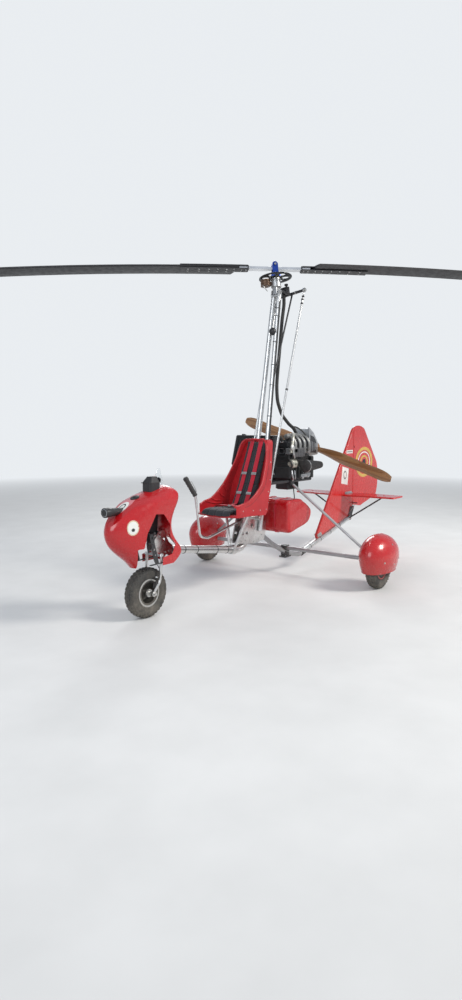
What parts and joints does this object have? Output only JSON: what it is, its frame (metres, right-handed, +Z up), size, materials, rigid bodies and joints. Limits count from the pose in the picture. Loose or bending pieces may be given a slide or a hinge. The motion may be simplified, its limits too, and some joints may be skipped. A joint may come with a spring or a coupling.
{
  "type": "gyrocopter",
  "caption": "Open single-seat gyrocopter with a teetering rotor on a raked mast, a wooden pusher propeller, a nose pod, a bucket seat and wheels in rounded pants.",
  "frame": {"origin": "on the ground, below the middle of the rotor (the middle of the overall box's base)", "axes": "+X towards the nose, +Y to port (the pilot's left), +Z up"},
  "size_m": [5.3434, 5.6691, 2.905],
  "materials": {
    "tyre_rubber": "matt black knobbly rubber",
    "wheel_red": "red painted cast wheel",
    "wheel_silver": "silver cast wheel with a bright disc",
    "frame_silver": "satin silver tube",
    "axle_grey": "grey painted tube",
    "black_metal": "black painted metal",
    "red_shell": "glossy red moulded shell",
    "red_tail": "glossy red sheet",
    "black_plastic": "matt black moulding",
    "clear_screen": "clear sheet",
    "red_vinyl": "red vinyl cover",
    "black_quilt": "black quilted cloth",
    "red_webbing": "red woven webbing",
    "blade_black": "satin black blade",
    "hub_silver": "machined bar",
    "blue_anodised": "blue anodised machined part",
    "gear_dark": "dark steel gear",
    "black_rubber": "black rubber sheath",
    "engine_dark": "dark cast engine",
    "drive_silver": "cast silver cover",
    "exhaust_steel": "heat stained steel",
    "prop_wood": "varnished laminated wood"
  },
  "bodies": {
    "airframe": {"keel_front": "frame_silver", "keel_rear": "axle_grey", "tail_boom": "frame_silver", "boom_splice": "black_metal", "mast": "frame_silver", "mast_foot": "frame_silver", "main_axle": "axle_grey", "axle_saddle": "black_metal", "axle_braces": "axle_grey", "wheel_pant_left": "red_shell", "wheel_pant_right": "red_shell", "steering_head": "frame_silver", "nose_pod": "red_shell", "pod_frame": "black_metal", "instrument_hump": "black_plastic", "windscreen": "clear_screen", "nose_lamp": "black_plastic", "seat_shell": "red_vinyl", "seat_back_pad": "black_quilt", "seat_base_pad": "black_quilt", "harness": "red_webbing", "seat_frame": "frame_silver", "control_stick": "frame_silver", "control_yoke": "frame_silver", "mast_head": "frame_silver", "bearing_housing": "drive_silver", "torque_bar": "black_metal", "control_rods": "frame_silver", "trim_strut": "black_metal", "prerotator_drive": "black_metal", "prerotator_cable": "black_rubber", "engine_mount": "black_metal", "engine_block": "engine_dark", "gearbox": "drive_silver", "radiator": "black_metal", "air_filter": "black_plastic", "exhaust": "exhaust_steel", "fuel_tank": "red_shell", "fin": "red_tail", "stabiliser": "red_tail", "stabiliser_struts": "black_metal", "tail_bracket": "black_metal"},
    "rotor_head": {"ring_gear": "gear_dark", "teeter_tower": "blue_anodised"},
    "rotor_blades": {"hub_bar": "hub_silver", "blade_straps": "black_metal", "rotor_blade_port": "blade_black", "rotor_blade_starboard": "blade_black"},
    "propeller": {"propeller": "prop_wood", "propeller_hub": "drive_silver"},
    "nose_fork": {"nose_fork": "frame_silver"},
    "nose_wheel": {"nose_tyre": "tyre_rubber", "nose_rim": "wheel_silver"},
    "main_wheel_left": {"main_left_tyre": "tyre_rubber", "main_left_rim": "wheel_red"},
    "main_wheel_right": {"main_right_tyre": "tyre_rubber", "main_right_rim": "wheel_red"},
    "rudder": {"rudder": "red_tail"}
  },
  "joints": [
    {"name": "rotor_spin", "type": "hinge", "parent": "airframe", "child": "rotor_head", "pos_m": [0.00492, -0.03479, 2.87422], "axis": [-0.0523, -0.1392, 0.9889], "continuous": true},
    {"name": "rotor_teeter", "type": "hinge", "parent": "rotor_head", "child": "rotor_blades", "pos_m": [0.00492, -0.03479, 2.87422], "axis": [-0.7128, -0.6883, -0.1346], "range_deg": [-12.66, 5.34]},
    {"name": "prop_spin", "type": "hinge", "parent": "airframe", "child": "propeller", "pos_m": [-0.655, 0, 1.198], "axis": [1, 0, 0], "continuous": true},
    {"name": "nose_steer", "type": "hinge", "parent": "airframe", "child": "nose_fork", "pos_m": [1.618, 0, 0.47], "axis": [-0.2924, 0, 0.9563], "range_deg": [-25, 25]},
    {"name": "nose_wheel_spin", "type": "hinge", "parent": "nose_fork", "child": "nose_wheel", "pos_m": [1.713, 0, 0.1885], "axis": [0, 1, 0], "continuous": true},
    {"name": "left_wheel_spin", "type": "hinge", "parent": "airframe", "child": "main_wheel_left", "pos_m": [-0.156, 0.976, 0.1885], "axis": [0, 1, 0], "continuous": true},
    {"name": "right_wheel_spin", "type": "hinge", "parent": "airframe", "child": "main_wheel_right", "pos_m": [-0.156, -0.976, 0.1885], "axis": [0, 1, 0], "continuous": true},
    {"name": "rudder_hinge", "type": "hinge", "parent": "airframe", "child": "rudder", "pos_m": [-1.512, 0, 0.9], "axis": [0, 0, 1], "range_deg": [-25, 25]}
  ]
}
